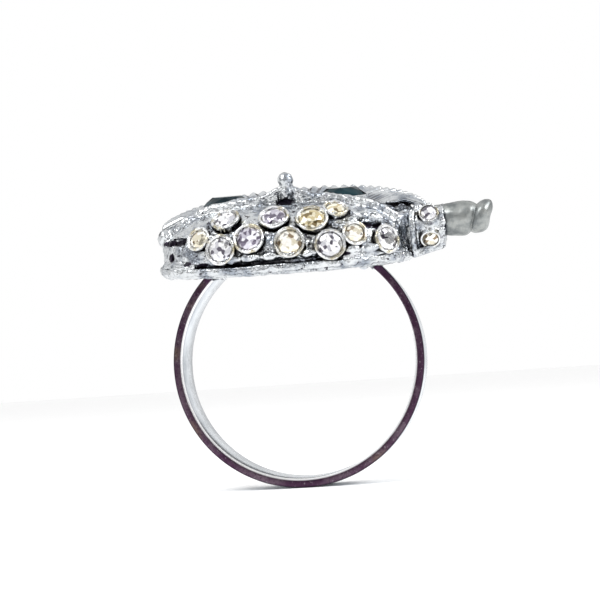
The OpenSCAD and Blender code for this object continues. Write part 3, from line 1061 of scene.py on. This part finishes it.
@dataclass
class Ferrule:
    """The stone-set socket of the handle, with the strap across it and its foot."""

    radius: float = 1.73
    taper: float = 0.13
    drop: float = 0.3
    voxel: float = 0.11
    strap_r: float = 0.24
    strap: tuple[Pair, ...] = ((-0.1, -2.6), (0.45, -2.95), (1.2, -3.1), (2.2, -3.0), (2.9, -2.4))
    lumps: tuple[Triple, ...] = (
        (2.15, 75, 0.26), (2.2, 98, 0.24), (2.1, 125, 0.26), (2.15, 50, 0.26), (1.15, 90, 0.2),
        (0.3, 150, 0.34), (1.2, 168, 0.24), (0.2, 90, 0.24), (1.9, 26, 0.26),
        (0.4, 24, 0.28), (0.1, 128, 0.26))
    finish: CastPlate = field(default_factory=lambda: CastPlate(
        "ferrule_plate", lump=0.8 * MM, crevice=0.4 * MM))

    def socket(self) -> Piece:
        """The ferrule and its saddle, drawn in at the handle's end.

        Returns:
            The socket.
        """
        end = HEAD.ferrule_x + HEAD.ferrule_l
        parts = [Bench.copy_of("ferrule", "socket"), Bench.copy_of("ferrule_saddle", "saddle")]
        socket = Bench.join("socket", parts)
        Bench.take(socket)
        bpy.ops.object.mode_set(mode="EDIT")
        bpy.ops.mesh.select_mode(type="FACE")
        bpy.ops.mesh.select_all(action="DESELECT")
        bpy.ops.object.mode_set(mode="OBJECT")
        for face in socket.data.polygons:
            face.select = face.center.x > (HEAD.mask_x + end - 0.35) * MM
        bpy.ops.object.mode_set(mode="EDIT")
        tip = HEAD.at(end, HEAD.handle_y, HEAD.handle_h)
        bpy.ops.transform.resize(value=(1, 0.82, 0.78), center_override=tip)
        bpy.ops.object.mode_set(mode="OBJECT")
        return socket

    def build(self) -> Piece:
        """Set lumps round the socket and a strap across it, and melt it all together.

        Returns:
            The ferrule.
        """
        start = HEAD.ferrule_x
        parts = [self.socket()]
        for along, turn, size in self.lumps:
            angle = math.radians(turn)
            out = (self.radius - self.taper * along) * Vector((math.sin(angle), math.cos(angle)))
            where = HEAD.at(start + along, HEAD.handle_y - out.x, HEAD.handle_h - self.drop - out.y)
            parts.append(Bench.ball(where, (size * MM, size * MM, size * 0.8 * MM)))
        parts.extend(Bench.rods([HEAD.at(start - 0.12, y, h) for h, y in self.strap], self.strap_r * MM))
        cast = Bench.join("ferrule_cast", parts)
        Bench.melt(cast, self.voxel * MM, 2, [(0.9 * MM, 0.14 * MM), (0.4 * MM, 0.07 * MM)])
        return cast

    def dress(self) -> None:
        """Finish and hand over the ferrule; its cups and stones keep their CAD shapes."""
        fit_in(self.build(), self.finish.make(), "bright_plate", "ferrule", "ferrule_saddle")


@dataclass
class Handle:
    """The handle's grip, swelling to a neck and an oblique lobed finial.

    Each step is (along from the ferrule's end, radius, lift in millimetres, tilt in degrees).
    """

    tenon_r: float = 1.15
    tenon_l: float = 1.85
    sides: int = 40
    steps: tuple[Four, ...] = (
        (0.0, 1.2, 0.0, 0.0), (0.35, 1.26, 0.0, 0.0), (0.8, 1.3, 0.0, 0.0), (1.25, 1.34, 0.0, -2.0),
        (1.65, 1.34, 0.0, -4.0), (1.95, 1.24, -0.02, -5.0), (2.12, 1.08, -0.03, -3.0),
        (2.2, 1.06, -0.03, 0.0),
        (2.34, 1.24, 0.02, -3.0), (2.65, 1.36, 0.05, 0.0), (3.0, 1.32, 0.08, 2.0), (3.3, 1.16, 0.12, 4.0),
        (3.45, 0.9, 0.16, 4.0), (3.5, 0.45, 0.18, 0.0))
    finish: SatinPlate = field(default_factory=lambda: SatinPlate("handle_satin"))

    def build(self) -> Piece:
        """Draw the handle out of a disc, ring by ring.

        Returns:
            The handle.
        """
        start = HEAD.ferrule_x + HEAD.ferrule_l
        centre = HEAD.at(start - self.tenon_l, HEAD.handle_y, HEAD.handle_h)
        Bench.clear()
        bpy.ops.mesh.primitive_circle_add(vertices=self.sides, radius=self.tenon_r * MM, fill_type="NGON",
                                          location=centre, rotation=(0, math.pi / 2, 0))
        obj = Bench.made("handle_grip")
        bpy.ops.object.transform_apply()
        bpy.ops.object.mode_set(mode="EDIT")
        bpy.ops.mesh.select_all(action="SELECT")
        radius = self.tenon_r
        for along, wide, lift, tilt in ((-0.02, self.tenon_r, 0.0, 0.0), *self.steps):
            target = HEAD.at(start + along, HEAD.handle_y, HEAD.handle_h + lift)
            bpy.ops.mesh.extrude_region_move(TRANSFORM_OT_translate={"value": target - centre})
            scale = wide / radius
            bpy.ops.transform.resize(value=(1, scale, scale), center_override=target)
            bpy.ops.transform.rotate(value=math.radians(tilt), orient_axis="Y", center_override=target)
            centre, radius = target, wide
        bpy.ops.mesh.select_all(action="SELECT")
        bpy.ops.mesh.normals_make_consistent(inside=False)
        bpy.ops.object.mode_set(mode="OBJECT")
        Bench.modify(obj, "SUBSURF", levels=2, render_levels=2)
        Bench.swell(obj, 1.2 * MM, 0.16 * MM)
        Bench.take(obj)
        bpy.ops.object.shade_smooth()
        return obj

    def dress(self) -> None:
        """Build, finish and hand over the handle."""
        fit_in(self.build(), self.finish.make(), "satin_plate", "handle")


class Tint(Enum):
    """The colours of the set stones."""

    CLEAR = "clear"
    LILAC = "lilac"
    YELLOW = "yellow"
    AMBER = "amber"


@dataclass
class Stones:
    """The cut stones and the cups and bezels that hold them."""

    cheek_tints: tuple[Tint, ...] = (
        Tint.AMBER, Tint.CLEAR, Tint.CLEAR, Tint.LILAC, Tint.LILAC, Tint.AMBER, Tint.YELLOW, Tint.YELLOW,
        Tint.CLEAR, Tint.AMBER, Tint.CLEAR)
    ferrule_tints: tuple[Tint, ...] = (Tint.AMBER, Tint.CLEAR)
    seats: tuple[Triple, ...] = (
        (-2.46, 0.88, 1.4), (-1.73, 0.54, 1.8), (-1.6, 1.39, 1.7), (-0.81, 0.81, 1.8), (-0.03, 1.37, 1.8),
        (0.46, 0.62, 1.8), (1.17, 1.24, 1.9), (1.88, 1.46, 1.4), (1.71, 0.46, 1.8), (2.46, 0.72, 1.4),
        (3.38, 0.45, 1.7))

    pitch: float = 2.35
    collar_proud: float = 0.26
    collar_gap: float = 0.16
    collar_r: float = 0.13
    collar_tall: float = 1.3

    def collars(self) -> Piece:
        """The cheek's cups with a rolled collar round each rim.

        Returns:
            The cups as one piece.
        """
        parts = [Bench.copy_of("cheek_cups", "cheek_collars")]
        for across, high, size in self.seats:
            x, h = across * self.pitch, high * self.pitch
            Bench.clear()
            bpy.ops.mesh.primitive_torus_add(major_segments=40, minor_segments=10,
                                             major_radius=(size / 2 + self.collar_gap) * MM,
                                             minor_radius=self.collar_r * MM)
            ring = Bench.made("collar")
            facing = HEAD.outward(x, h).to_track_quat("Z", "Y")
            centre = HEAD.on_wall(x, h, self.collar_proud)
            ring.matrix_world = Matrix.LocRotScale(centre, facing, Vector((1, 1, self.collar_tall)))
            bpy.ops.object.transform_apply()
            Bench.swell(ring, 0.5 * MM, 0.14 * MM)
            parts.append(ring)
        joined = Bench.join("cheek_collars", parts)
        Bench.take(joined)
        bpy.ops.object.shade_smooth_by_angle(angle=math.radians(40))
        return joined

    @staticmethod
    def glass(tint: Tint) -> Material:
        """Build the glass of one colour.

        Args:
            tint: The colour.

        Returns:
            The finished material.
        """
        # Each tint: painted bright reflection, body colour, painted dark reflection, share of dark
        # splinters.
        light, body, dark, dark_reflection_share = {
            Tint.CLEAR: ((0.93, 0.93, 0.93), (0.56, 0.56, 0.6), (0.09, 0.08, 0.11), 0.26),
            Tint.LILAC: ((0.88, 0.88, 0.92), (0.5, 0.48, 0.55), (0.12, 0.1, 0.15), 0.32),
            Tint.YELLOW: ((0.9, 0.87, 0.74), (0.6, 0.51, 0.3), (0.2, 0.14, 0.05), 0.28),
            Tint.AMBER: ((0.92, 0.9, 0.84), (0.68, 0.63, 0.5), (0.24, 0.17, 0.1), 0.22),
        }[tint]
        return FoiledGlass(f"{tint.value}_glass", light, body, dark, dark_reflection_share=dark_reflection_share).make()

    def dress(self) -> None:
        """Finish every stone, cup and bezel."""
        glass = {tint: self.glass(tint) for tint in Tint}
        for group, tints in (("cheek", self.cheek_tints), ("ferrule", self.ferrule_tints)):
            for number, tint in enumerate(tints, 1):
                dress(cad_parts[f"{group}_stone_{number}"], glass[tint])
        dark = DarkGlass("dark_glass").make()
        bezel = CastPlate("bezel_plate", pits=0.3).make()
        for side in ("left", "right"):
            dress(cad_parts[f"eye_stone_{side}"], dark)
            dress(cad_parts[f"eye_bezel_{side}"], bezel)
        cups = CupPlate("cup_plate").make()
        dress(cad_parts["ferrule_cups"], cups)
        fit_in(self.collars(), cups, "cup_plate", "cheek_cups")
        log.info("stones: %d finished", len(self.cheek_tints) + len(self.ferrule_tints) + 2)


@dataclass
class Studio:
    """Floor, lights and camera."""

    floor_z: float = -9.72
    azimuth: float = 7.7
    elevation: float = -0.6
    distance: float = 125.0
    focal: float = 2.6767
    turn_right: float = 0.1
    look_up: float = 2.16
    roll: float = 3.7
    cards: tuple[Four, ...] = (
        (3.0, -12.0, 0.3, 0.075), (32.0, 10.0, 0.34, 0.05), (62.0, -20.0, 0.3, 0.045),
        (14.0, 75.0, 0.12, 0.09), (16.0, -80.0, 0.12, 0.09), (26.0, 180.0, 0.3, 0.06))
    card_distance: float = 0.26
    boxes: tuple[tuple[str, Triple, float, float], ...] = (
        ("key_box", (-0.12, -0.14, 0.22), 0.12, 0.35), ("fill_box", (0.18, -0.05, 0.16), 0.1, 0.25))

    def floor(self) -> None:
        """Lay the pale floor."""
        Bench.clear()
        bpy.ops.mesh.primitive_plane_add(size=4.0, location=(0, 0, self.floor_z * MM))
        ground = Bench.made("floor")
        dress(ground, StudioPaper("floor_paper", 0.96).make())

    def flag(self, name: str, towards: Vector, size: Pair) -> None:
        """Stand a dark card that only the metal's reflections show.

        Args:
            name: The card's name.
            towards: The direction in which it stands.
            size: Its width and height, in metres.
        """
        Bench.clear()
        bpy.ops.mesh.primitive_plane_add(size=1.0)
        card = Bench.made(name)
        turn = (-towards).to_track_quat("Z", "Y")
        card.matrix_world = Matrix.LocRotScale(towards * self.card_distance, turn, Vector((*size, 1)))
        bpy.ops.object.transform_apply()
        dress(card, StudioPaper(name + "_cloth", 0.015).make())
        card.visible_camera = False
        card.visible_shadow = False
        card.visible_diffuse = False

    def lights(self) -> None:
        """Set the soft daylight of the room and two soft boxes."""
        world = bpy.data.worlds.new("studio")
        world.use_nodes = True
        background = world.node_tree.nodes["Background"]
        background.inputs[0].default_value = (1.0, 1.0, 1.0, 1.0)
        background.inputs[1].default_value = 1.0
        bpy.context.scene.world = world
        for name, place, size, power in self.boxes:
            lamp = bpy.data.lights.new(name, "AREA")
            lamp.shape = "DISK"
            lamp.size = size
            lamp.energy = power
            body = bpy.data.objects.new(name, lamp)
            bpy.context.scene.collection.objects.link(body)
            aim = (-Vector(place)).to_track_quat("-Z", "Y")
            body.matrix_world = Matrix.LocRotScale(Vector(place), aim, None)

    def camera(self) -> None:
        """Place the camera, look at the ring and roll the view a little."""
        spot = direction(self.azimuth, self.elevation) * self.distance * MM
        ahead = -direction(self.azimuth - self.turn_right, self.elevation - self.look_up)
        right = ahead.cross(Vector((0, 0, 1))).normalized()
        above = right.cross(ahead)
        cos, sin = math.cos(math.radians(self.roll)), math.sin(math.radians(self.roll))
        right, above = right * cos - above * sin, above * cos + right * sin
        lens = bpy.data.cameras.new("camera")
        lens.sensor_width = 36.0
        lens.lens = 36.0 * self.focal
        lens.clip_start = 0.001
        lens.clip_end = 10.0
        body = bpy.data.objects.new("camera", lens)
        bpy.context.scene.collection.objects.link(body)
        turn = Matrix((right, above, -ahead)).transposed()
        body.matrix_world = Matrix.LocRotScale(spot, turn.to_quaternion(), None)
        bpy.context.scene.camera = body

    def build(self) -> None:
        """Build the whole studio."""
        self.floor()
        for number, (climb, turn, wide, high) in enumerate(self.cards):
            self.flag(f"dark_flag_{number + 1}", direction(turn, climb), (wide, high))
        self.lights()
        self.camera()
        bpy.context.scene.view_settings.view_transform = "Standard"


def main() -> None:
    """Build the ring and its studio in order."""
    logging.basicConfig(level=logging.INFO, format="%(name)s %(message)s", stream=sys.stdout)
    for part in (Shank(), Casting(), Nose(), Crest(), Ferrule(), Handle(), Stones()):
        log.info("making the %s", type(part).__name__.lower())
        part.dress()
    Studio().build()
    Bench.clear()


if __name__ == "__main__":
    main()
